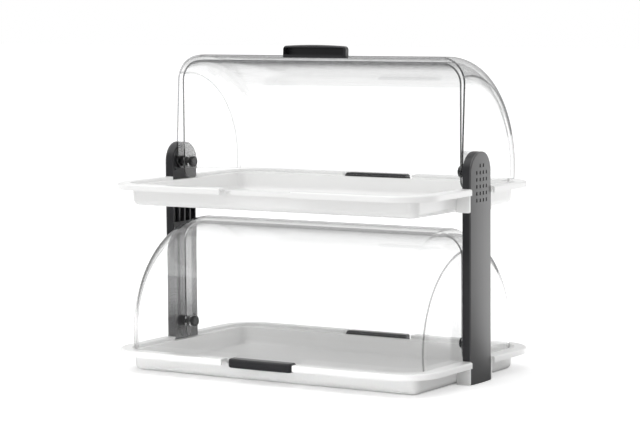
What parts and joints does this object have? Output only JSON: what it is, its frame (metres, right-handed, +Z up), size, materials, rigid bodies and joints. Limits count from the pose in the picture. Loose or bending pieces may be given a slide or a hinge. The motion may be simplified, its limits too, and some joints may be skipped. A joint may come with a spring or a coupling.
{
  "type": "countertop bread display bin",
  "caption": "Two-tier countertop bread display: moulded trays between side posts, each under a pair of clear roll-top covers that turn on pivot pins and roll back over each other.",
  "frame": {"origin": "on the table, under the middle of the bin", "axes": "+X along the long side to the right seen from the front, -Y to the front, +Z up"},
  "size_m": [0.48, 0.32, 0.4294],
  "materials": {
    "tray_white": "satin moulded white plastic",
    "cover_clear": "polished clear plastic",
    "grip_black": "satin black plastic",
    "post_black": "satin black plastic",
    "post_cover_black": "satin anthracite plastic",
    "pin_black": "smooth black plastic",
    "spacer_black": "black plastic",
    "steel": "plain steel"
  },
  "bodies": {
    "frame": {"lower_tray": "tray_white", "upper_tray": "tray_white", "left_post": "post_black", "left_post_cover": "post_cover_black", "left_tray_screws": "steel", "right_post": "post_black", "right_post_cover": "post_cover_black", "right_tray_screws": "steel"},
    "lower_front": {"lower_front_cover": "cover_clear", "lower_front_grip": "grip_black"},
    "lower_rear": {"lower_rear_cover": "cover_clear", "lower_rear_grip": "grip_black"},
    "lower_left_pin": {"lower_left_pivot_pin": "pin_black", "lower_left_pivot_clip": "steel", "lower_left_pivot_spacer": "spacer_black"},
    "lower_right_pin": {"lower_right_pivot_pin": "pin_black", "lower_right_pivot_clip": "steel", "lower_right_pivot_spacer": "spacer_black"},
    "upper_front": {"upper_front_cover": "cover_clear", "upper_front_grip": "grip_black"},
    "upper_rear": {"upper_rear_cover": "cover_clear", "upper_rear_grip": "grip_black"},
    "upper_left_pin": {"upper_left_pivot_pin": "pin_black", "upper_left_pivot_clip": "steel", "upper_left_pivot_spacer": "spacer_black"},
    "upper_right_pin": {"upper_right_pivot_pin": "pin_black", "upper_right_pivot_clip": "steel", "upper_right_pivot_spacer": "spacer_black"}
  },
  "joints": [
    {"name": "upper_rear_hinge", "type": "hinge", "parent": "frame", "child": "upper_rear", "pos_m": [0, 0.0035, 0.2691], "axis": [1, 0, 0], "range_deg": [0, 93.5]},
    {"name": "upper_front_hinge", "type": "hinge", "parent": "upper_rear", "child": "upper_front", "pos_m": [0, 0.0035, 0.2691], "axis": [-1, 0, 0], "range_deg": [-93.5, 0]},
    {"name": "lower_front_hinge", "type": "hinge", "parent": "frame", "child": "lower_front", "pos_m": [0, 0.0035, 0.0496], "axis": [1, 0, 0], "range_deg": [-93.5, 0]},
    {"name": "lower_rear_hinge", "type": "hinge", "parent": "frame", "child": "lower_rear", "pos_m": [0, 0.0035, 0.0496], "axis": [1, 0, 0], "range_deg": [0, 93.5]},
    {"name": "lower_left_pin_spin", "type": "hinge", "parent": "frame", "child": "lower_left_pin", "pos_m": [-0.228, 0.0035, 0.0496], "axis": [1, 0, 0], "continuous": true},
    {"name": "lower_right_pin_spin", "type": "hinge", "parent": "frame", "child": "lower_right_pin", "pos_m": [0.228, 0.0035, 0.0496], "axis": [1, 0, 0], "continuous": true},
    {"name": "upper_left_pin_spin", "type": "hinge", "parent": "frame", "child": "upper_left_pin", "pos_m": [-0.228, 0.0035, 0.2691], "axis": [1, 0, 0], "continuous": true},
    {"name": "upper_right_pin_spin", "type": "hinge", "parent": "frame", "child": "upper_right_pin", "pos_m": [0.228, 0.0035, 0.2691], "axis": [1, 0, 0], "continuous": true}
  ]
}
